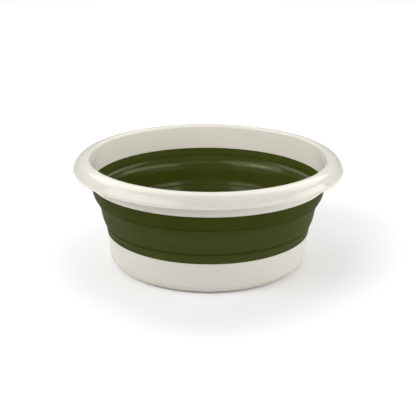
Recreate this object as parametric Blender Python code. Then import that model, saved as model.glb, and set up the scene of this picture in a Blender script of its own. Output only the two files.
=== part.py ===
"""Collapsible bowl with a rolled rim, a folding wall and a base tub.

Each piece is a closed outline of (radius, height) points, turned once round the bowl's upright axis.
Lengths are in metres and +Z is up. The origin is the centre of the face that the bowl stands on.
The bowl is open to its full height. To fold it, the rim drops straight down over the base tub.
"""

import math

import bmesh
import bpy

# Rim ring, a stiff moulding: an inner wall, a narrow crest and a broad lip that curves out and down to a
# flat sloping band, then turns down at a corner
LIP_RADIUS = 0.1859
LIP_WIDTH = 0.0235
LIP_CURVE_RADIUS = 0.0205
LIP_BAND_ANGLE = math.radians(37)
LIP_CORNER_ROUNDING = 0.0026
LIP_HEIGHT = 0.0165
LIP_EDGE_ROUNDING = 0.0008
CREST_INNER_RADIUS = 0.004
RIM_HEIGHT = 0.034
RIM_THICKNESS = 0.0024
RIM_DRAFT = 0.0016
RIM_INSIDE_DROP = 0.0017

# Folding wall, from the rim down: three bands with a sloping step between each two
UPPER_BAND_HEIGHT = 0.0167
UPPER_BAND_TAPER = 0.0044
UPPER_STEP_HEIGHT = 0.015
UPPER_STEP_INSET = 0.0082
MIDDLE_BAND_HEIGHT = 0.0175
MIDDLE_BAND_TAPER = 0.0033
LOWER_STEP_HEIGHT = 0.0145
LOWER_STEP_INSET = 0.0052
LOWER_BAND_HEIGHT = 0.0075
LOWER_BAND_TAPER = 0.0008
WALL_THICKNESS = 0.0024
UPPER_CREASE_ROUNDING = 0.015
UPPER_COVE_ROUNDING = 0.025
LOWER_CREASE_ROUNDING = 0.03
LOWER_COVE_ROUNDING = 0.015
INNER_BEAD_DROP = 0.0136

# Fold lines: how far across its step each one lies, and the blunt edge left beside it
UPPER_FOLD_SHARE = 0.3
LOWER_FOLD_SHARE = 0.586
FOLD_EDGE = 0.0005

# Tongues of the stiff mouldings that the soft wall is moulded round
TONGUE_THICKNESS = 0.0008
TONGUE_LENGTH = 0.005

# Base tub, a stiff moulding: a tapered wall on a floor with a raised middle
BASE_HEIGHT = 0.045
BASE_TAPER = 0.0027
BASE_THICKNESS = 0.0024
BASE_CORNER_ROUNDING = 0.0165
WALL_OVERHANG = 0.0007
FLOOR_THICKNESS = 0.0025
FOOT_WIDTH = 0.024
FLOOR_RAISE = 0.0015
FLOOR_RAISE_SLOPE = 0.002

# Gap between pieces that meet
CLEARANCE = 0.0003

# How finely the round forms are stepped
TURN_STEPS = 60
CORNER_STEPS = 4
LIP_STEPS = 6
CREST_STEPS = 4
BEAD_STEPS = 4
SHARP_ANGLE = math.radians(35)

# Finishes: colour and roughness
CREAM = (0.617, 0.591, 0.514)
CREAM_ROUGHNESS = 0.22
OLIVE = (0.046, 0.060, 0.014)
OLIVE_ROUGHNESS = 0.45

# Radii that follow from the lip inwards
RIM_INSIDE_TOP = LIP_RADIUS - LIP_WIDTH
CREST_RADIUS = RIM_INSIDE_TOP + CREST_INNER_RADIUS
RIM_INSIDE_FOOT = RIM_INSIDE_TOP - RIM_DRAFT
WALL_TOP_RADIUS = RIM_INSIDE_FOOT + RIM_THICKNESS
UPPER_CREASE_RADIUS = WALL_TOP_RADIUS - UPPER_BAND_TAPER
UPPER_COVE_RADIUS = UPPER_CREASE_RADIUS - UPPER_STEP_INSET
LOWER_CREASE_RADIUS = UPPER_COVE_RADIUS - MIDDLE_BAND_TAPER
LOWER_COVE_RADIUS = LOWER_CREASE_RADIUS - LOWER_STEP_INSET
WALL_FOOT_RADIUS = LOWER_COVE_RADIUS - LOWER_BAND_TAPER
UPPER_FOLD_RADIUS = UPPER_CREASE_RADIUS - UPPER_FOLD_SHARE * UPPER_STEP_INSET
LOWER_FOLD_RADIUS = LOWER_CREASE_RADIUS - LOWER_FOLD_SHARE * LOWER_STEP_INSET
BASE_TOP_RADIUS = WALL_FOOT_RADIUS - WALL_OVERHANG
BASE_FOOT_RADIUS = BASE_TOP_RADIUS - BASE_TAPER

# Heights that follow from the base up
WALL_FOOT = BASE_HEIGHT + CLEARANCE
LOWER_COVE = BASE_HEIGHT + LOWER_BAND_HEIGHT
LOWER_CREASE = LOWER_COVE + LOWER_STEP_HEIGHT
UPPER_COVE = LOWER_CREASE + MIDDLE_BAND_HEIGHT
UPPER_CREASE = UPPER_COVE + UPPER_STEP_HEIGHT
WALL_TOP = UPPER_CREASE + UPPER_BAND_HEIGHT
CREST = WALL_TOP + RIM_HEIGHT


def arc(centre, radius, start, end, steps):
    """Points on an arc about (radius, height) centre, from one angle to another, both ends included."""
    points = []
    for step in range(steps + 1):
        angle = start + (end - start) * step / steps
        points.append((centre[0] + radius * math.cos(angle), centre[1] + radius * math.sin(angle)))
    return points


def rounded(corners, steps=CORNER_STEPS):
    """Points along straight runs, with an arc of the given rounding in place of each corner."""
    points = [corners[0][:2]]
    for before, corner, after in zip(corners, corners[1:], corners[2:]):
        rounding = corner[2]
        if rounding <= 0:
            points.append(corner[:2])
            continue
        back = math.atan2(before[1] - corner[1], before[0] - corner[0])
        ahead = math.atan2(after[1] - corner[1], after[0] - corner[0])
        opening = (ahead - back + math.pi) % math.tau - math.pi
        reach = rounding / math.sin(abs(opening) / 2)
        middle = back + opening / 2
        centre = (corner[0] + reach * math.cos(middle), corner[1] + reach * math.sin(middle))
        sweep = math.copysign(math.pi - abs(opening), opening)
        start = middle + math.pi + sweep / 2
        points.extend(arc(centre, rounding, start, start - sweep, steps))
    points.append(corners[-1][:2])
    return points


def at_radius(path, radius):
    """The point where a path that runs inwards as it goes down crosses a radius."""
    for (r0, z0), (r1, z1) in zip(path, path[1:]):
        if r1 <= radius <= r0:
            return (radius, z0 + (z1 - z0) * (r0 - radius) / (r0 - r1))
    raise ValueError("the path doesn't reach this radius")


def at_height(path, height):
    """The point where a path that runs down crosses a height."""
    for (r0, z0), (r1, z1) in zip(path, path[1:]):
        if z1 <= height <= z0:
            return (r0 + (r1 - r0) * (z0 - height) / (z0 - z1), height)
    raise ValueError("the path doesn't reach this height")


def between(path, first, last):
    """The stretch of a downward path from the point first to the point last."""
    return [first] + [p for p in path if last[1] < p[1] < first[1]] + [last]


def wall_outside():
    """The folding wall's outer face, from the rim down to the base."""
    return rounded(
        [
            (WALL_TOP_RADIUS, WALL_TOP, 0),
            (UPPER_CREASE_RADIUS, UPPER_CREASE, UPPER_CREASE_ROUNDING),
            (UPPER_COVE_RADIUS, UPPER_COVE, UPPER_COVE_ROUNDING),
            (LOWER_CREASE_RADIUS, LOWER_CREASE, LOWER_CREASE_ROUNDING),
            (LOWER_COVE_RADIUS, LOWER_COVE, LOWER_COVE_ROUNDING),
            (WALL_FOOT_RADIUS, WALL_FOOT, 0),
        ]
    )


def inwards(path, distance):
    """The same path moved towards the axis."""
    return [(radius - distance, height) for radius, height in path]


OUTSIDE = wall_outside()
INSIDE = inwards(OUTSIDE, WALL_THICKNESS)

# How deep under the wall's outer face the tongues and their grooves lie
TONGUE_OUTSIDE = (WALL_THICKNESS - TONGUE_THICKNESS) / 2
TONGUE_INSIDE = TONGUE_OUTSIDE + TONGUE_THICKNESS
GROOVE_OUTSIDE = TONGUE_OUTSIDE - CLEARANCE
GROOVE_INSIDE = TONGUE_INSIDE + CLEARANCE
GROOVE_DEPTH = TONGUE_LENGTH + CLEARANCE


def band_end(band_start, radius):
    """Where the lip's sloping band, from the end of its curve, reaches a radius."""
    return (radius, band_start[1] - (radius - band_start[0]) / math.tan(LIP_BAND_ANGLE))


def rim_outline():
    """The rim ring: up its inside, over the crest, round the lip and back under it to the tongue."""
    shoulder = WALL_TOP + CLEARANCE
    inside_foot = shoulder - RIM_INSIDE_DROP
    lip_centre = (CREST_RADIUS, CREST - LIP_CURVE_RADIUS)
    crest_centre = (CREST_RADIUS, CREST - CREST_INNER_RADIUS)
    lip_edge = CREST - LIP_HEIGHT
    lip_inside = LIP_RADIUS - RIM_THICKNESS
    tongue_foot = WALL_TOP - TONGUE_LENGTH
    tongue_top = at_height(OUTSIDE, WALL_TOP)[0]
    tongue_end = at_height(OUTSIDE, tongue_foot)[0]

    over = arc(crest_centre, CREST_INNER_RADIUS, math.pi, math.pi / 2, CREST_STEPS)
    over += arc(lip_centre, LIP_CURVE_RADIUS, math.pi / 2, LIP_BAND_ANGLE, LIP_STEPS)[1:]
    under = arc(lip_centre, LIP_CURVE_RADIUS - RIM_THICKNESS, LIP_BAND_ANGLE, math.pi / 2, LIP_STEPS)
    edge = rounded(
        [
            over[-1] + (0,),
            band_end(over[-1], LIP_RADIUS) + (LIP_CORNER_ROUNDING,),
            (LIP_RADIUS, lip_edge, LIP_EDGE_ROUNDING),
            (lip_inside, lip_edge, LIP_EDGE_ROUNDING),
            band_end(under[0], lip_inside) + (0,),
            under[0] + (0,),
        ],
        steps=CORNER_STEPS // 2,
    )
    under += arc(crest_centre, CREST_INNER_RADIUS - RIM_THICKNESS, math.pi / 2, math.pi, CREST_STEPS)[1:]
    foot = [
        (WALL_TOP_RADIUS, shoulder),
        (tongue_top - TONGUE_OUTSIDE, shoulder),
        (tongue_end - TONGUE_OUTSIDE, tongue_foot),
        (tongue_end - TONGUE_INSIDE, tongue_foot),
        (at_height(OUTSIDE, WALL_TOP - RIM_INSIDE_DROP)[0] - TONGUE_INSIDE, inside_foot),
        (RIM_INSIDE_FOOT, inside_foot),
    ]
    return over + edge[1:-1] + under + foot


def top_groove():
    """The groove in the wall's top edge that the rim's tongue fills, from the outside in."""
    inner_top = WALL_TOP - RIM_INSIDE_DROP
    groove_foot = WALL_TOP - GROOVE_DEPTH
    return [
        (at_height(OUTSIDE, inner_top)[0] - GROOVE_INSIDE, inner_top),
        (at_height(OUTSIDE, groove_foot)[0] - GROOVE_INSIDE, groove_foot),
        (at_height(OUTSIDE, groove_foot)[0] - GROOVE_OUTSIDE, groove_foot),
        (WALL_TOP_RADIUS - GROOVE_OUTSIDE, WALL_TOP),
    ]


def inner_bead(face):
    """A half-round bead on the wall's inner face, from its top to its foot.

    It stands in as far as the face of the fold, so that it clears the middle band as the wall folds.
    """
    height = WALL_TOP - INNER_BEAD_DROP
    middle = at_height(INSIDE, height)
    radius = middle[0] - face
    crown = arc(middle, radius, math.pi / 2, math.pi * 3 / 2, BEAD_STEPS)
    return [at_height(INSIDE, height + radius)] + crown[1:-1] + [at_height(INSIDE, height - radius)]


def upper_band_outline():
    """The band under the rim: it drops outside the middle band when the bowl is folded."""
    face = UPPER_FOLD_RADIUS + CLEARANCE / 2
    edge = at_radius(OUTSIDE, face + FOLD_EDGE)
    fold_top = at_radius(INSIDE, face)
    bead = inner_bead(face)
    inner_top = at_height(INSIDE, WALL_TOP - RIM_INSIDE_DROP)
    outer = between(OUTSIDE, OUTSIDE[0], edge)
    inner = between(INSIDE, inner_top, bead[0]) + bead[1:-1] + between(INSIDE, bead[-1], fold_top)
    return outer + [(face, edge[1])] + inner[::-1] + top_groove()


def middle_band_outline():
    """The band between the fold lines, which turns over on the real bowl."""
    upper_face = UPPER_FOLD_RADIUS - CLEARANCE / 2
    lower_face = LOWER_FOLD_RADIUS + CLEARANCE / 2
    lower_edge = at_radius(OUTSIDE, lower_face + FOLD_EDGE)
    upper_edge = at_radius(INSIDE, upper_face - FOLD_EDGE)
    outer = between(OUTSIDE, at_radius(OUTSIDE, upper_face), lower_edge)
    inner = between(INSIDE, upper_edge, at_radius(INSIDE, lower_face))
    return outer + [(lower_face, lower_edge[1])] + inner[::-1] + [(upper_face, upper_edge[1])]


def lower_band_outline():
    """The band that stays on the base, with a groove for the base tub's tongue in its foot."""
    face = LOWER_FOLD_RADIUS - CLEARANCE / 2
    edge = at_radius(INSIDE, face - FOLD_EDGE)
    groove_top = WALL_FOOT + GROOVE_DEPTH
    above = at_height(OUTSIDE, groove_top)[0]
    outer = between(OUTSIDE, at_radius(OUTSIDE, face), OUTSIDE[-1])
    groove = [
        (WALL_FOOT_RADIUS - GROOVE_OUTSIDE, WALL_FOOT),
        (above - GROOVE_OUTSIDE, groove_top),
        (above - GROOVE_INSIDE, groove_top),
        (WALL_FOOT_RADIUS - GROOVE_INSIDE, WALL_FOOT),
    ]
    inner = between(INSIDE, edge, INSIDE[-1])
    return outer + groove + inner[::-1] + [(face, edge[1])]


def base_outline():
    """The base tub: down its outside, across the foot and floor, up its inside to the tongue."""
    foot_inside = BASE_FOOT_RADIUS - BASE_CORNER_ROUNDING - FOOT_WIDTH
    raise_edge = foot_inside - FLOOR_RAISE_SLOPE
    raised_floor = FLOOR_RAISE + FLOOR_THICKNESS
    floor_radius = BASE_FOOT_RADIUS + BASE_TAPER * FLOOR_THICKNESS / BASE_HEIGHT - BASE_THICKNESS
    tongue_top = WALL_FOOT + TONGUE_LENGTH
    tongue_end = at_height(OUTSIDE, tongue_top)[0]
    outer = rounded(
        [
            (BASE_TOP_RADIUS, BASE_HEIGHT, 0),
            (BASE_FOOT_RADIUS, 0, BASE_CORNER_ROUNDING),
            (foot_inside, 0, 0),
            (raise_edge, FLOOR_RAISE, 0),
            (0, FLOOR_RAISE, 0),
        ]
    )
    inner = rounded(
        [
            (0, raised_floor, 0),
            (raise_edge, raised_floor, 0),
            (foot_inside, FLOOR_THICKNESS, 0),
            (floor_radius, FLOOR_THICKNESS, BASE_CORNER_ROUNDING - BASE_THICKNESS),
            (BASE_TOP_RADIUS - BASE_THICKNESS, BASE_HEIGHT, 0),
        ]
    )
    tongue = [
        (WALL_FOOT_RADIUS - TONGUE_INSIDE, BASE_HEIGHT),
        (tongue_end - TONGUE_INSIDE, tongue_top),
        (tongue_end - TONGUE_OUTSIDE, tongue_top),
        (WALL_FOOT_RADIUS - TONGUE_OUTSIDE, BASE_HEIGHT),
    ]
    return outer + inner + tongue


def finish(name, colour, roughness):
    """A plain plastic finish for one piece."""
    material = bpy.data.materials.new(name)
    material.use_nodes = True
    shader = material.node_tree.nodes["Principled BSDF"]
    shader.inputs["Base Color"].default_value = (*colour, 1)
    shader.inputs["Roughness"].default_value = roughness
    material.diffuse_color = (*colour, 1)
    return material


def cream(name):
    """The stiff plastic of the rim and the base."""
    return finish(name, CREAM, CREAM_ROUGHNESS)


def olive(name):
    """The soft rubber of the folding wall."""
    return finish(name, OLIVE, OLIVE_ROUGHNESS)


def turned(name, outline, seat, material):
    """Spin an outline into a closed ring whose origin is on the axis at the height of its seat."""
    mesh = bpy.data.meshes.new(name)
    build = bmesh.new()
    points = [build.verts.new((radius, 0, height - seat)) for radius, height in outline]
    edges = [build.edges.new((a, b)) for a, b in zip(points, points[1:] + points[:1])]
    bmesh.ops.spin(
        build,
        geom=points + edges,
        cent=(0, 0, 0),
        axis=(0, 0, 1),
        angle=math.tau,
        steps=TURN_STEPS,
        use_merge=True,
    )
    on_axis = [vert for vert in build.verts if math.hypot(vert.co.x, vert.co.y) < CLEARANCE / 2]
    bmesh.ops.remove_doubles(build, verts=on_axis, dist=CLEARANCE / 2)
    bmesh.ops.dissolve_degenerate(build, edges=build.edges, dist=CLEARANCE / TURN_STEPS)
    bmesh.ops.recalc_face_normals(build, faces=build.faces)
    build.to_mesh(mesh)
    build.free()
    mesh.shade_smooth()
    mesh.set_sharp_from_angle(angle=SHARP_ANGLE)
    mesh.materials.append(material)
    piece = bpy.data.objects.new(name, mesh)
    piece.location = (0, 0, seat)
    bpy.context.scene.collection.objects.link(piece)
    return piece


def carrier(name, height, pieces):
    """An empty on the sliding axis that carries the pieces which move together."""
    empty = bpy.data.objects.new(name, None)
    empty.location = (0, 0, height)
    bpy.context.scene.collection.objects.link(empty)
    for piece in pieces:
        piece.parent = empty
        piece.location = (0, 0, piece.location.z - height)


def main():
    for old in list(bpy.data.objects):
        bpy.data.objects.remove(old)

    turned("base_tub", base_outline(), 0, cream("base_cream"))
    turned("lower_band", lower_band_outline(), BASE_HEIGHT, olive("lower_olive"))
    middle = turned("middle_band", middle_band_outline(), LOWER_CREASE, olive("middle_olive"))
    upper = turned("upper_band", upper_band_outline(), UPPER_CREASE, olive("upper_olive"))
    rim = turned("rim_ring", rim_outline(), WALL_TOP, cream("rim_cream"))
    carrier("fold_slide", LOWER_CREASE, [middle])
    carrier("rim_slide", WALL_TOP, [upper, rim])


main()
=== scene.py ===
"""Collapsible bowl, dressed and lit: a cream rim and base tub with a folding olive wall between them.

Each piece is an outline of (radius, height) points turned once round the bowl's upright axis. Lengths are in
metres and +Z is up. The outlines follow the frame: their heights and outer radii are read from its boxes.
"""

import logging
import math
from dataclasses import dataclass
from enum import Enum

import bpy
import numpy as np
from mathutils import Matrix, Vector


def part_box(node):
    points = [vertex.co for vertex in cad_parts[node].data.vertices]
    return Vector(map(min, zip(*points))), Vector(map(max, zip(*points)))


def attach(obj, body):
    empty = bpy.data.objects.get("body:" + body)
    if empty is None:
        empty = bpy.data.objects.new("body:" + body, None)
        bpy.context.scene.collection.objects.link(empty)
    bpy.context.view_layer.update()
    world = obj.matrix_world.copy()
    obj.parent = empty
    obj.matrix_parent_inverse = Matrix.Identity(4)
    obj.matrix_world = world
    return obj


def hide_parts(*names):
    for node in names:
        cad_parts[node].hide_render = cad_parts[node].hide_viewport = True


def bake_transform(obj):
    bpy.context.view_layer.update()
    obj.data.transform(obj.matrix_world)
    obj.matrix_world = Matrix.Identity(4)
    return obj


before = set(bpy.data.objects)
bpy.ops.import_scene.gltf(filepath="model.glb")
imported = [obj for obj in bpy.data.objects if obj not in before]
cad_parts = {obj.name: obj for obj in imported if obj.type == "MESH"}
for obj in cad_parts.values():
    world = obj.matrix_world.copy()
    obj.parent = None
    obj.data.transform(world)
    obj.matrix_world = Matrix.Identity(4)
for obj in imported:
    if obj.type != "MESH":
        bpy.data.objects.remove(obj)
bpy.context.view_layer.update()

LOG = logging.getLogger("collapsible_bowl")

# A span is the two ends of a range. A triple is a place, or one number for each axis.
Span = tuple[float, float]
Triple = tuple[float, float, float]
Colour = tuple[float, float, float]

# A noise keeps to the middle of 0 to 1. A finish reads it over one of these spans.
NOISE_MIDDLE: Span = (0.35, 0.65)
NOISE_BODY: Span = (0.3, 0.7)


class Body(Enum):
    """The moving bodies that a piece can ride on."""

    BASE = "base"
    RIM = "rim"


class Slot(Enum):
    """The record's material slots."""

    CREAM = "cream_plastic"
    OLIVE = "olive_rubber"


class Face(Enum):
    """Which face of the folding wall a feature is pressed into."""

    OUTER = "outer"
    INNER = "inner"


class Mark(Enum):
    """The numbers that the folding wall's mesh carries at each of its points."""

    POLISH = "polish"
    UNSHADED_SHARE = "haze"


class Arithmetic(Enum):
    """How a material combines two values."""

    ADD = "ADD"
    MULTIPLY = "MULTIPLY"


def rounded(corners: np.ndarray, steps: int, closed: bool = True) -> np.ndarray:
    """Puts a true arc in place of each corner of an outline.

    With u and v the unit directions from a corner to its neighbours and h half the angle between them, the
    arc of radius r touches the sides at r / tan(h) from the corner. Its centre is r / sin(h) from the
    corner, along u + v.

    Args:
        corners: rows of (radius, height, rounding).
        steps: how many straight steps each arc has.
        closed: whether the last corner runs on to the first. An open outline keeps its two ends sharp.

    Returns:
        Rows of (radius, height) along the rounded outline.
    """
    place, rounding = corners[:, :2], corners[:, 2]
    back = np.roll(place, 1, axis=0) - place
    ahead = np.roll(place, -1, axis=0) - place
    back /= np.linalg.norm(back, axis=1, keepdims=True)
    ahead /= np.linalg.norm(ahead, axis=1, keepdims=True)
    half = np.arccos(np.clip((back * ahead).sum(axis=1), -1, 1)) / 2
    middle = back + ahead
    middle /= np.linalg.norm(middle, axis=1, keepdims=True)
    centre = place + middle * (rounding / np.sin(half))[:, None]
    first = place + back * (rounding / np.tan(half))[:, None] - centre
    last = place + ahead * (rounding / np.tan(half))[:, None] - centre
    start = np.arctan2(first[:, 1], first[:, 0])
    sweep = np.arctan2(last[:, 1], last[:, 0]) - start
    sweep = (sweep + math.pi) % math.tau - math.pi
    turn = start[:, None] + sweep[:, None] * np.linspace(0, 1, steps + 1)
    arcs = centre[:, None, :] + rounding[:, None, None] * np.stack([np.cos(turn), np.sin(turn)], axis=2)
    if closed:
        return arcs.reshape(-1, 2)
    return np.vstack([place[:1], arcs[1:-1].reshape(-1, 2), place[-1:]])


def filled_in(outline: np.ndarray, spacing: float | np.ndarray, closed: bool = True) -> np.ndarray:
    """Divides each run of an outline into equal parts no longer than its spacing.

    Args:
        outline: rows of (radius, height).
        spacing: the longest part that is left, one value for all runs or one for each.
        closed: whether the last point runs on to the first.

    Returns:
        The outline's own points and the added ones, in order.
    """
    run = np.roll(outline, -1, axis=0) - outline
    if not closed:
        run[-1] = 0
    parts = np.maximum(1, np.ceil(np.linalg.norm(run, axis=1) / spacing)).astype(int)
    start = np.repeat(np.arange(len(outline)), parts)
    part = np.arange(len(start)) - np.repeat(np.cumsum(parts) - parts, parts)
    return outline[start] + run[start] * (part / parts[start])[:, None]


def turned(name: str, outline: np.ndarray, steps: int, closed: bool = True) -> bpy.types.Object:
    """Turns an outline once round the upright axis into one closed, smooth-shaded mesh.

    Point j of ring i is (r_j cos a_i, r_j sin a_i, z_j), with a_i evenly spaced round the circle. The
    outline runs anticlockwise in the (radius, height) plane, so the faces point outwards. An open outline
    starts and ends on the axis, where a fan of triangles closes each pole.

    Args:
        name: the piece's name.
        outline: rows of (radius, height).
        steps: how many rings the turn has.
        closed: whether the outline closes on itself instead of ending on the axis.

    Returns:
        The new object, at the origin.
    """
    rings = outline if closed else outline[1:-1]
    count = len(rings)
    turn = np.arange(steps) * (math.tau / steps)
    points = np.empty((steps, count, 3))
    points[:, :, 0] = np.cos(turn)[:, None] * rings[None, :, 0]
    points[:, :, 1] = np.sin(turn)[:, None] * rings[None, :, 0]
    points[:, :, 2] = rings[None, :, 1]
    points = points.reshape(-1, 3)
    here = np.arange(steps)[:, None] * count
    there = np.roll(np.arange(steps), -1)[:, None] * count
    place = np.arange(count if closed else count - 1)[None, :]
    after = (place + 1) % count
    quads = np.stack([here + place, there + place, there + after, here + after], axis=2).reshape(-1, 4)
    faces = quads.tolist()
    if not closed:
        first_pole, last_pole = len(points), len(points) + 1
        points = np.vstack([points, [[0, 0, outline[0, 1]], [0, 0, outline[-1, 1]]]])
        start, end = here.ravel(), there.ravel()
        faces += np.stack([np.full(steps, first_pole), end, start], axis=1).tolist()
        faces += np.stack([np.full(steps, last_pole), start + count - 1, end + count - 1], axis=1).tolist()
    mesh = bpy.data.meshes.new(name)
    mesh.from_pydata(points, [], faces)
    mesh.shade_smooth()
    mesh.update()
    piece = bpy.data.objects.new(name, mesh)
    bpy.context.scene.collection.objects.link(piece)
    return piece


class Recipe:
    """The nodes of one material, built round its Principled shader."""

    def __init__(self, name: str) -> None:
        """Starts a material with only a Principled shader and its output."""
        self.material = bpy.data.materials.new(name)
        self.material.use_nodes = True
        self.tree = self.material.node_tree
        self.shader = self.tree.nodes["Principled BSDF"]
        self.place = self.tree.nodes.new("ShaderNodeTexCoord").outputs["Object"]

    def join(self, source: bpy.types.NodeSocket, target: bpy.types.NodeSocket) -> None:
        """Links one socket to another."""
        self.tree.links.new(source, target)

    def noise(self, size: float, detail: float = 3.0, stretch: Triple = (1, 1, 1)) -> bpy.types.NodeSocket:
        """Noise in the object's own space.

        Args:
            size: how wide one blot of the noise is, in metres.
            detail: how many finer octaves it holds.
            stretch: how many times finer it is along each axis.

        Returns:
            The noise's value, about 0.5 on average.
        """
        mapping = self.tree.nodes.new("ShaderNodeMapping")
        mapping.inputs["Scale"].default_value = stretch
        self.join(self.place, mapping.inputs["Vector"])
        texture = self.tree.nodes.new("ShaderNodeTexNoise")
        texture.inputs["Scale"].default_value = 1 / size
        texture.inputs["Detail"].default_value = detail
        self.join(mapping.outputs["Vector"], texture.inputs["Vector"])
        return texture.outputs["Fac"]

    def spread(self, value: bpy.types.NodeSocket, source: Span, target: Span,
               smooth: bool = False) -> bpy.types.NodeSocket:
        """Maps a value from one range to another and holds it inside the second.

        Args:
            value: the value to map.
            source: the range that it is read over.
            target: what the two ends of that range become.
            smooth: whether the ends ease in and out.

        Returns:
            The mapped value.
        """
        node = self.tree.nodes.new("ShaderNodeMapRange")
        node.interpolation_type = "SMOOTHSTEP" if smooth else "LINEAR"
        node.clamp = True
        node.inputs["From Min"].default_value, node.inputs["From Max"].default_value = source
        node.inputs["To Min"].default_value, node.inputs["To Max"].default_value = target
        self.join(value, node.inputs["Value"])
        return node.outputs["Result"]

    def combined(self, first: bpy.types.NodeSocket, second: bpy.types.NodeSocket,
                 way: Arithmetic = Arithmetic.ADD) -> bpy.types.NodeSocket:
        """Combines two values.

        Args:
            first: one value.
            second: the other.
            way: whether they are added or multiplied.

        Returns:
            The sum or the product.
        """
        node = self.tree.nodes.new("ShaderNodeMath")
        node.operation = way.value
        self.join(first, node.inputs[0])
        self.join(second, node.inputs[1])
        return node.outputs["Value"]

    def height(self) -> bpy.types.NodeSocket:
        """Reads how high a point of the piece lies.

        Returns:
            The height above the bowl's foot, in metres.
        """
        node = self.tree.nodes.new("ShaderNodeSeparateXYZ")
        self.join(self.place, node.inputs["Vector"])
        return node.outputs["Z"]

    def blend(self, share: bpy.types.NodeSocket, low: Colour, high: Colour) -> bpy.types.NodeSocket:
        """Mixes two colours.

        Args:
            share: how much of the high colour there is, from 0 to 1.
            low: the colour where the share is 0.
            high: the colour where the share is 1.

        Returns:
            The mixed colour.
        """
        node = self.tree.nodes.new("ShaderNodeMix")
        node.data_type = "RGBA"
        colours = [socket for socket in node.inputs if socket.type == "RGBA"]
        colours[0].default_value, colours[1].default_value = (*low, 1), (*high, 1)
        self.join(share, node.inputs["Factor"])
        return next(socket for socket in node.outputs if socket.type == "RGBA")

    def mark(self, mark: Mark) -> bpy.types.NodeSocket:
        """Reads a number that the mesh carries at each of its points.

        Args:
            mark: which number.

        Returns:
            The number, run evenly from point to point.
        """
        node = self.tree.nodes.new("ShaderNodeAttribute")
        node.attribute_name = mark.value
        return node.outputs["Fac"]

    def bump(self, height: bpy.types.NodeSocket, depth: float) -> None:
        """Lets a value stand as relief over the whole surface.

        Args:
            height: the value, from 0 to 1.
            depth: how far 1 lies above 0, in metres.
        """
        node = self.tree.nodes.new("ShaderNodeBump")
        node.inputs["Strength"].default_value = 1.0
        node.inputs["Distance"].default_value = depth
        self.join(height, node.inputs["Height"])
        self.join(node.outputs["Normal"], self.shader.inputs["Normal"])


@dataclass(frozen=True)
class CreamPlastic:
    """Glossy injection-moulded plastic: faint flow tones, slight ripples, and scratches where it stands."""

    tone: Colour = (0.580, 0.555, 0.494)
    flow_tone: Colour = (0.566, 0.541, 0.480)
    flow_size: float = 0.07
    gloss: Span = (0.04, 0.07)
    gloss_size: float = 0.012
    scratch_roughness: float = 0.12
    scratch_height: float = 0.004
    scratch_size: float = 0.003
    scratch_stretch: Triple = (1, 1, 3)
    scratch_edge: Span = (0.5, 0.62)
    ripple_size: float = 0.0045
    ripple_detail: float = 1.0
    ripple_depth: float = 0.000006
    specular: float = 0.50

    def material(self) -> bpy.types.Material:
        """Builds the finish: tone from broad noise, gloss from finer noise, and scratches near the foot.

        Returns:
            The material.
        """
        recipe = Recipe("glossy_cream")
        shader = recipe.shader
        shader.inputs["Specular IOR Level"].default_value = self.specular
        flow = recipe.spread(recipe.noise(self.flow_size), NOISE_MIDDLE, (0, 1), smooth=True)
        recipe.join(recipe.blend(flow, self.flow_tone, self.tone), shader.inputs["Base Color"])
        gloss = recipe.spread(recipe.noise(self.gloss_size), NOISE_BODY, self.gloss)
        near_foot = recipe.spread(recipe.height(), (0, self.scratch_height), (1, 0), smooth=True)
        lines = recipe.noise(self.scratch_size, stretch=self.scratch_stretch)
        scratches = recipe.spread(lines, self.scratch_edge, (0, self.scratch_roughness))
        worn = recipe.combined(near_foot, scratches, Arithmetic.MULTIPLY)
        recipe.join(recipe.combined(gloss, worn), shader.inputs["Roughness"])
        recipe.bump(recipe.noise(self.ripple_size, self.ripple_detail), self.ripple_depth)
        return recipe.material


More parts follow.
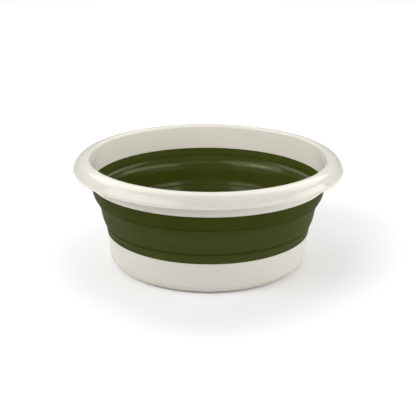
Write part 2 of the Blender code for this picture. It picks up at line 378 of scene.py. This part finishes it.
@dataclass(frozen=True)
class OliveRubber:
    """Thermoplastic rubber with a fine moulded grain, slight clouds, a lighter greyish tone on its lower
    outside, and painted shade on its upper outside under the lip and along its lower fold line.

    The mesh's polish is 0 where the rubber is matt and 1 where it is satin. Its unshaded share is 1 where
    the rubber takes the lighter greyish tone and 0 where it keeps the darker base tone, which on the outside
    is painted shade.
    """

    tone: Colour = (0.0305, 0.0382, 0.0032)
    # Lighter greyish tone outside; where the outside keeps the darker base tone instead, that is painted
    # shade under the lip and along the lower fold line.
    unshaded_tone: Colour = (0.0425, 0.0514, 0.0130)
    cloud_share: float = 0.25
    cloud_size: float = 0.05
    matt_roughness: float = 0.50
    satin_roughness: float = 0.14
    cloud_roughness: float = 0.05
    gloss_size: float = 0.02
    grain_size: float = 0.0014
    grain_detail: float = 2.0
    grain_depth: float = 0.000005
    matt_specular: float = 0.03
    satin_specular: float = 0.28
    specular_tint: Colour = (0.96, 1.0, 0.70)

    def material(self) -> bpy.types.Material:
        """Builds the finish: its tone follows the unshaded share, which paints shade on the outside, and its
        gloss the polish, under a fine grain.

        Returns:
            The material.
        """
        recipe = Recipe("satin_olive")
        shader = recipe.shader
        polish = recipe.mark(Mark.POLISH)
        specular = recipe.spread(polish, (0, 1), (self.matt_specular, self.satin_specular))
        recipe.join(specular, shader.inputs["Specular IOR Level"])
        shader.inputs["Specular Tint"].default_value = (*self.specular_tint, 1)
        blots = recipe.noise(self.cloud_size)
        cloud = recipe.spread(blots, NOISE_MIDDLE, (0, self.cloud_share), smooth=True)
        # Painted shade: the tone lightens only where the unshaded share is high, so the outside's upper band
        # under the lip and its lower fold line stay darker.
        haze = recipe.spread(recipe.mark(Mark.UNSHADED_SHARE), (0, 1), (0, 1 - self.cloud_share))
        tone = recipe.blend(recipe.combined(cloud, haze), self.tone, self.unshaded_tone)
        recipe.join(tone, shader.inputs["Base Color"])
        gloss = recipe.spread(polish, (0, 1), (self.matt_roughness, self.satin_roughness))
        clouds = recipe.spread(recipe.noise(self.gloss_size), NOISE_BODY, (0, self.cloud_roughness))
        recipe.join(recipe.combined(gloss, clouds), shader.inputs["Roughness"])
        recipe.bump(recipe.noise(self.grain_size, self.grain_detail), self.grain_depth)
        return recipe.material


@dataclass(frozen=True)
class Seat:
    """A stiff moulding's tongue in the soft wall's groove, both centred in the wall's thickness."""

    tongue_thickness: float = 0.0008
    tongue_length: float = 0.005
    clearance: float = 0.0003
    edge_rounding: float = 0.00015

    def tongue(self, thickness: float) -> Span:
        """How deep under the outer face of a wall of that thickness the tongue's two faces lie."""
        outer = (thickness - self.tongue_thickness) / 2
        return outer, outer + self.tongue_thickness

    def groove(self, thickness: float) -> Span:
        """How deep under the outer face of a wall of that thickness the groove's two sides lie."""
        outer = self.tongue(thickness)[0] - self.clearance
        return outer, outer + self.tongue_thickness + 2 * self.clearance


@dataclass(frozen=True)
class WallForm:
    """The folding wall's two faces, from the rim down: three bands with a sloping step between each two.

    The inner face follows the outer one a thickness further in, and has a ledge at the upper step.
    """

    top: float
    top_radius: float
    foot: float
    upper_band_height: float = 0.0167
    upper_band_taper: float = 0.0044
    upper_step_height: float = 0.015
    upper_step_inset: float = 0.0082
    middle_band_height: float = 0.0175
    middle_band_taper: float = 0.0033
    lower_step_height: float = 0.0145
    lower_step_inset: float = 0.0052
    lower_band_taper: float = 0.0008
    roundings: tuple[float, float, float, float] = (0.015, 0.025, 0.030, 0.015)
    thickness: float = 0.0024
    inside_drop: float = 0.0017
    ledge_lift: float = 0.0022
    ledge_height: float = 0.006
    ledge_inset: float = 0.006
    ledge_roundings: Span = (0.003, 0.020)
    arc_steps: int = 16

    def corners(self) -> np.ndarray:
        """Works down from the top: each band and step lowers the face by its height and draws it in.

        Returns:
            Rows of (radius, height, rounding) up the outer face, from the foot to the top.
        """
        drops = np.cumsum([0, self.upper_band_height, self.upper_step_height, self.middle_band_height,
                           self.lower_step_height])
        insets = np.cumsum([0, self.upper_band_taper, self.upper_step_inset, self.middle_band_taper,
                            self.lower_step_inset, self.lower_band_taper])
        heights = np.append(self.top - drops, self.foot)
        corners = np.stack([self.top_radius - insets, heights, np.array([0, *self.roundings, 0])], axis=1)
        return corners[::-1]

    def inner_corners(self) -> np.ndarray:
        """Draws the outer face in by the thickness, and rolls it over the ledge at the upper step.

        Returns:
            Rows of (radius, height, rounding) down the inner face, from the top to the foot.
        """
        corners = self.corners()[::-1]
        corners[:, 0] -= self.thickness
        inner_top = self.top - self.inside_drop
        corners[0, :2] = self.radius(inner_top) - self.thickness, inner_top
        ledge_top = corners[1, 1] + self.ledge_lift
        ledge_radius = corners[1, 0] + self.ledge_lift * self.upper_band_taper / self.upper_band_height
        corners[1] = ledge_radius, ledge_top, self.ledge_roundings[0]
        roll = (ledge_radius - self.ledge_inset, ledge_top - self.ledge_height, self.ledge_roundings[1])
        return np.insert(corners, 2, roll, axis=0)

    def radius(self, height: float | np.ndarray) -> float | np.ndarray:
        """The outer face's radius at a height, or at each of many."""
        face = rounded(self.corners(), self.arc_steps, closed=False)
        return np.interp(height, face[:, 1], face[:, 0])


@dataclass(frozen=True)
class Press:
    """A shallow groove round one face of the wall.

    A depth above 0 moves the face towards the axis. Within the reach, counted in half widths from the
    press, the section has at least that many points to each half width.
    """

    face: Face
    height: float
    depth: float
    half_width: float
    reach: int = 3
    points: int = 3

    def relief(self, heights: np.ndarray) -> np.ndarray:
        """How far the face moves towards the axis: depth times exp(-(distance / half width) squared)."""
        return self.depth * np.exp(-(((heights - self.height) / self.half_width) ** 2))

    def spacing(self, heights: np.ndarray, elsewhere: float) -> np.ndarray:
        """How close a section's points lie, at each height."""
        near = np.abs(heights - self.height) < self.reach * self.half_width
        return np.where(near, self.half_width / self.points, elsewhere)


@dataclass(frozen=True)
class FoldingWall:
    """The soft wall, one moulding from the rim to the base tub.

    It has two fold lines outside, and inside a shallow groove over the ledge and a fine line.
    """

    form: WallForm
    seat: Seat
    upper_fold: Press = Press(Face.OUTER, height=0.0963, depth=0.0010, half_width=0.00045)
    lower_fold: Press = Press(Face.OUTER, height=0.0585, depth=0.0012, half_width=0.0007)
    ledge_groove: Press = Press(Face.INNER, height=0.1024, depth=-0.0007, half_width=0.0021)
    fine_line: Press = Press(Face.INNER, height=0.0596, depth=-0.0004, half_width=0.0005)
    folding_top: float = 0.095
    upper_band_polish: float = 0.12
    # Painted shade: the unshaded share fades out up this span of the upper step, darkening the upper band
    # under the lip, and dips over this gap about the lower fold line.
    lip_shade_fade: Span = (0.086, 0.0965)
    fold_shade_gap: float = 0.0025
    steps: int = 184
    arc_steps: int = 12
    spacing: float = 0.001
    finish: OliveRubber = OliveRubber()

    def corners(self) -> np.ndarray:
        """Joins the outer face, the grooved top edge, the inner face and the grooved foot.

        Returns:
            Rows of (radius, height, rounding) once round the section.
        """
        form, seat = self.form, self.seat
        edge = seat.edge_rounding
        outer = form.corners()
        outer[[0, -1], 2] = edge
        inner = form.inner_corners()
        inner[[0, -1], 2] = edge
        inner_top = form.top - form.inside_drop
        groove_out, groove_in = seat.groove(form.thickness)
        depth = seat.tongue_length + seat.clearance
        top_end, foot_end = form.top - depth, form.foot + depth
        top_groove = [
            (form.top_radius - groove_out, form.top, edge),
            (form.radius(top_end) - groove_out, top_end, edge),
            (form.radius(top_end) - groove_in, top_end, edge),
            (form.radius(inner_top) - groove_in, inner_top, edge),
        ]
        foot_radius = form.radius(form.foot)
        foot_groove = [
            (foot_radius - groove_in, form.foot, edge),
            (form.radius(foot_end) - groove_in, foot_end, edge),
            (form.radius(foot_end) - groove_out, foot_end, edge),
            (foot_radius - groove_out, form.foot, edge),
        ]
        return np.vstack([outer, top_groove, inner, foot_groove])

    def outline(self) -> tuple[np.ndarray, np.ndarray]:
        """Rounds the section's corners and presses the fold lines, the groove and the fine line into it.

        Returns:
            The section's rows of (radius, height), and how deep each lay under the wall's outer face before
            the pressing.
        """
        presses = (self.upper_fold, self.lower_fold, self.ledge_groove, self.fine_line)
        section = filled_in(rounded(self.corners(), self.arc_steps), self.spacing)
        for press in presses:
            section = filled_in(section, press.spacing(section[:, 1], self.spacing))
        thickness = self.form.thickness
        groove_out, groove_in = self.seat.groove(thickness)
        depths = self.form.radius(section[:, 1]) - section[:, 0]
        faces = {Face.OUTER: depths < groove_out / 2, Face.INNER: depths > (groove_in + thickness) / 2}
        for press in presses:
            section[:, 0] -= press.relief(section[:, 1]) * faces[press.face]
        return section, depths

    def marks(self, heights: np.ndarray, depths: np.ndarray) -> dict[Mark, np.ndarray]:
        """Works out where the rubber is satin and where it is painted lighter, the rest standing as painted
        shade.

        The polish is 0 outside, and 1 inside but for the upper band. The unshaded share is 0 inside. Outside
        it falls from 1 to 0 up the upper step, painting shade on the upper band under the lip, and it is
        multiplied by 1 - exp(-(d / fold shade gap) squared), with d the height from the lower fold line,
        painting shade along that fold.

        Args:
            heights: how high each row of the section lies.
            depths: how deep each row lies under the wall's outer face.

        Returns:
            Each mark's number for each row.
        """
        ledge_top = self.form.inner_corners()[1, 1]
        inside = depths > self.form.thickness / 2
        # Painted shade along the lower fold line.
        gap = np.exp(-(((heights - self.lower_fold.height) / self.fold_shade_gap) ** 2))
        return {
            Mark.POLISH: np.where(heights > ledge_top, self.upper_band_polish, 1.0) * inside,
            Mark.UNSHADED_SHARE: np.interp(heights, self.lip_shade_fade, (1.0, 0.0)) * (1 - gap) * ~inside,
        }

    def build(self) -> bpy.types.Object:
        """Turns the wall, marks and dresses it, and hides the frame's three bands that it stands in for.

        Returns:
            The wall.
        """
        section, depths = self.outline()
        wall = turned("folding_wall", section, self.steps)
        for mark, values in self.marks(section[:, 1], depths).items():
            attribute = wall.data.attributes.new(mark.value, "FLOAT", "POINT")
            attribute.data.foreach_set("value", np.tile(values, self.steps))
        wall.data.materials.append(self.finish.material())
        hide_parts("upper_band", "middle_band", "lower_band")
        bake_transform(wall)
        return wall


@dataclass(frozen=True)
class RimRing:
    """The stiff rim: an inner wall on a tongue, a narrow crest, and a lip that curves to a sloping band."""

    form: WallForm
    seat: Seat
    lip_radius: float
    crest: float
    lip_width: float = 0.0235
    lip_height: float = 0.0165
    lip_curve: float = 0.0205
    band_angle: float = 37.0
    lip_corner: float = 0.0026
    lip_edge_rounding: float = 0.0008
    crest_rounding: float = 0.004
    crest_flat: float = 0.0001
    thickness: float = 0.0024
    draft: float = 0.0016
    steps: int = 256
    arc_steps: int = 14
    spacing: float = 0.0016

    def outline(self) -> np.ndarray:
        """The section: from the inside foot by the tongue, under the lip, round its edge and over the crest.

        The sloping band faces up by the band angle a. Its line meets the crest's height at the brow, which
        lies lip curve times tan((90 - a) / 2) out from the crest, and falls by 1 / tan(a) for each unit out.

        Returns:
            Rows of (radius, height).
        """
        form, seat = self.form, self.seat
        edge = seat.edge_rounding
        shoulder = form.top + seat.clearance
        inside_foot = shoulder - form.inside_drop
        tongue_foot = form.top - seat.tongue_length
        tongue_out, tongue_in = seat.tongue(form.thickness)
        inside_top = self.lip_radius - self.lip_width
        lip_foot = self.crest - self.lip_height
        lip_inside = self.lip_radius - self.thickness
        under_crest = self.crest - self.thickness
        tilt = math.radians(self.band_angle)
        half_turn = math.tan((math.pi / 2 - tilt) / 2)
        brow = inside_top + self.crest_rounding + self.crest_flat + self.lip_curve * half_turn
        inner_brow = brow - self.thickness * half_turn
        band_foot = self.crest - (self.lip_radius - brow) / math.tan(tilt)
        inner_band_foot = under_crest - (lip_inside - inner_brow) / math.tan(tilt)
        lean = self.draft * self.crest_rounding / (self.crest - self.crest_rounding - inside_foot)
        corners = [
            (inside_top - self.draft, inside_foot, edge),
            (form.radius(form.top - form.inside_drop) - tongue_in, inside_foot, edge),
            (form.radius(tongue_foot) - tongue_in, tongue_foot, edge),
            (form.radius(tongue_foot) - tongue_out, tongue_foot, edge),
            (form.top_radius - tongue_out, shoulder, edge),
            (form.top_radius, shoulder, edge),
            (inside_top + self.thickness + lean, under_crest, self.crest_rounding - self.thickness),
            (inner_brow, under_crest, self.lip_curve - self.thickness),
            (lip_inside, inner_band_foot, edge),
            (lip_inside, lip_foot, self.lip_edge_rounding),
            (self.lip_radius, lip_foot, self.lip_edge_rounding),
            (self.lip_radius, band_foot, self.lip_corner),
            (brow, self.crest, self.lip_curve),
            (inside_top + lean, self.crest, self.crest_rounding),
        ]
        return filled_in(rounded(np.array(corners), self.arc_steps), self.spacing)

    def build(self, material: bpy.types.Material) -> bpy.types.Object:
        """Turns the rim, dresses it and lets it ride on the rim body.

        Args:
            material: the cream finish.

        Returns:
            The rim.
        """
        ring = turned("rim_ring_finish", self.outline(), self.steps)
        ring.data.materials.append(material)
        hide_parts("rim_ring")
        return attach(ring, Body.RIM.value)


@dataclass(frozen=True)
class BaseTub:
    """The stiff tub under the wall: a tapered wall with a tongue, on a floor with a raised middle."""

    form: WallForm
    seat: Seat
    taper: float = 0.0027
    thickness: float = 0.0024
    corner_rounding: float = 0.0165
    top_rounding: float = 0.0003
    wall_overhang: float = 0.0007
    floor_thickness: float = 0.0025
    foot_width: float = 0.024
    floor_raise: float = 0.0015
    raise_slope: float = 0.002
    raise_rounding: float = 0.0012
    steps: int = 256
    arc_steps: int = 10
    spacing: float = 0.0024

    def outline(self) -> np.ndarray:
        """The section: across the underside from the axis, up the outside, by the tongue and down inside.

        Returns:
            Rows of (radius, height), which start and end on the axis.
        """
        form, seat = self.form, self.seat
        edge, soft = seat.edge_rounding, self.raise_rounding
        top = form.foot - seat.clearance
        wall_foot_radius = form.radius(form.foot)
        top_radius = wall_foot_radius - self.wall_overhang
        foot_radius = top_radius - self.taper
        foot_inside = foot_radius - self.corner_rounding - self.foot_width
        raise_edge = foot_inside - self.raise_slope
        raised = self.floor_raise + self.floor_thickness
        floor_radius = foot_radius + self.taper * self.floor_thickness / top - self.thickness
        tongue_top = form.foot + seat.tongue_length
        tongue_out, tongue_in = seat.tongue(form.thickness)
        corners = [
            (0, self.floor_raise, 0),
            (raise_edge, self.floor_raise, soft),
            (foot_inside, 0, soft),
            (foot_radius, 0, self.corner_rounding),
            (top_radius, top, self.top_rounding),
            (wall_foot_radius - tongue_out, top, edge),
            (form.radius(tongue_top) - tongue_out, tongue_top, edge),
            (form.radius(tongue_top) - tongue_in, tongue_top, edge),
            (wall_foot_radius - tongue_in, top, edge),
            (top_radius - self.thickness, top, self.top_rounding),
            (floor_radius, self.floor_thickness, self.corner_rounding - self.thickness),
            (foot_inside, self.floor_thickness, soft),
            (raise_edge, raised, soft),
            (0, raised, 0),
        ]
        path = rounded(np.array(corners), self.arc_steps, closed=False)
        return filled_in(path, self.spacing, closed=False)

    def build(self, material: bpy.types.Material) -> bpy.types.Object:
        """Turns the tub, dresses it and lets it ride on the base body.

        Args:
            material: the cream finish.

        Returns:
            The tub.
        """
        tub = turned("base_tub_finish", self.outline(), self.steps, closed=False)
        tub.data.materials.append(material)
        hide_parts("base_tub")
        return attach(tub, Body.BASE.value)


@dataclass(frozen=True)
class Softbox:
    """A rectangular studio light that looks at its aim from a bearing and a rise, in degrees.

    One without glints isn't mirrored and isn't seen itself.
    """

    name: str
    bearing: float
    rise: float
    distance: float
    width: float
    height: float
    watts: float
    colour: Colour = (1, 1, 1)
    aim: Triple = (0, 0, 0.1)
    glints: bool = True

    def build(self) -> None:
        """Adds the light, facing its aim."""
        light = bpy.data.lights.new(self.name, "AREA")
        light.shape = "RECTANGLE"
        light.size, light.size_y = self.width, self.height
        light.energy = self.watts
        light.color = self.colour
        bearing, rise = math.radians(self.bearing), math.radians(self.rise)
        level = math.cos(rise)
        away = Vector((math.cos(bearing) * level, math.sin(bearing) * level, math.sin(rise)))
        lamp = bpy.data.objects.new(self.name, light)
        lamp.location = Vector(self.aim) + away * self.distance
        lamp.rotation_euler = away.to_track_quat("Z", "Y").to_euler()
        lamp.visible_glossy = lamp.visible_camera = self.glints
        bpy.context.scene.collection.objects.link(lamp)


@dataclass(frozen=True)
class Studio:
    """The plain pale floor, the soft lights and the camera at the photograph's angle."""

    floor_half: float = 12.0
    floor_tone: Colour = (0.93, 0.93, 0.93)
    floor_roughness: float = 0.9
    floor_specular: float = 0.0
    floor_gap: float = 0.0002
    sky_strength: float = 0.26
    picture_width: float = 416.0
    focal_pixels: float = 900.0
    camera_place: Triple = (0, -1.1938, 0.49135)
    camera_pitch: float = 19.38
    camera_roll: float = 0.31
    sensor: float = 36.0
    softboxes: tuple[Softbox, ...] = (
        Softbox("left_box", bearing=209, rise=35, distance=1.7, width=2.0, height=1.3, watts=19),
        Softbox("left_core", bearing=206, rise=30, distance=1.65, width=0.7, height=0.12, watts=4.0),
        Softbox("right_box", bearing=-17, rise=18, distance=1.7, width=2.5, height=1.1, watts=25),
        Softbox("bowl_light", bearing=-90, rise=35, distance=0.32, width=0.30, height=0.08, watts=0.38,
                aim=(0, 0.16, 0.12), glints=False),
        Softbox("back_floor_light", bearing=90, rise=90, distance=2.8, width=6.0, height=3.5, watts=120,
                aim=(0, 2.6, 0)),
        Softbox("front_floor_light", bearing=90, rise=90, distance=2.8, width=6.0, height=3.5, watts=35,
                aim=(0, -4.5, 0)),
    )

    def floor(self) -> None:
        """Lays the floor a hair under the bowl's foot, as a square grid of four faces."""
        line = np.array([-self.floor_half, 0, self.floor_half])
        across, along = np.meshgrid(line, line, indexing="ij")
        points = np.stack([across, along, np.full(across.shape, -self.floor_gap)], axis=2).reshape(-1, 3)
        place = np.arange(across.size).reshape(across.shape)
        corners = [place[:-1, :-1], place[1:, :-1], place[1:, 1:], place[:-1, 1:]]
        faces = np.stack(corners, axis=2).reshape(-1, 4)
        mesh = bpy.data.meshes.new("studio_floor")
        mesh.from_pydata(points, [], faces.tolist())
        floor = bpy.data.objects.new("studio_floor", mesh)
        bpy.context.scene.collection.objects.link(floor)
        recipe = Recipe("studio_floor")
        recipe.shader.inputs["Base Color"].default_value = (*self.floor_tone, 1)
        recipe.shader.inputs["Roughness"].default_value = self.floor_roughness
        recipe.shader.inputs["Specular IOR Level"].default_value = self.floor_specular
        mesh.materials.append(recipe.material)

    def sky(self) -> None:
        """Lights the room evenly from a plain white surround."""
        world = bpy.data.worlds.new("studio_surround")
        world.use_nodes = True
        background = world.node_tree.nodes["Background"]
        background.inputs["Color"].default_value = (1, 1, 1, 1)
        background.inputs["Strength"].default_value = self.sky_strength
        bpy.context.scene.world = world

    def camera(self) -> None:
        """Sets the camera at the photograph's height, distance, downward tilt and slight roll."""
        lens = bpy.data.cameras.new("camera")
        lens.sensor_width = self.sensor
        lens.lens = self.sensor * self.focal_pixels / self.picture_width
        camera = bpy.data.objects.new("camera", lens)
        camera.location = self.camera_place
        tilt = Matrix.Rotation(math.radians(90 - self.camera_pitch), 3, "X")
        roll = Matrix.Rotation(math.radians(self.camera_roll), 3, "Z")
        camera.rotation_euler = (tilt @ roll).to_euler()
        bpy.context.scene.collection.objects.link(camera)
        bpy.context.scene.camera = camera

    def build(self) -> None:
        """Sets up the floor, the surround, the lights and the camera."""
        self.floor()
        self.sky()
        for softbox in self.softboxes:
            softbox.build()
        self.camera()
        bpy.context.scene.view_settings.view_transform = "Standard"


def main() -> None:
    """Builds the bowl's three mouldings on the frame, then the studio round them."""
    logging.basicConfig(level=logging.INFO, format="%(name)s: %(message)s")
    rim_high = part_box("rim_ring")[1]
    band_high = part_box("upper_band")[1]
    band_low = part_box("lower_band")[0]
    seat = Seat()
    form = WallForm(top=band_high.z, top_radius=band_high.x, foot=band_low.z)
    cream = CreamPlastic().material()
    pieces = [
        RimRing(form, seat, lip_radius=rim_high.x, crest=rim_high.z).build(cream),
        FoldingWall(form, seat).build(),
        BaseTub(form, seat).build(cream),
    ]
    for piece in pieces:
        LOG.info("%s: %d faces", piece.name, len(piece.data.polygons))
    Studio().build()


if __name__ == "__main__":
    main()
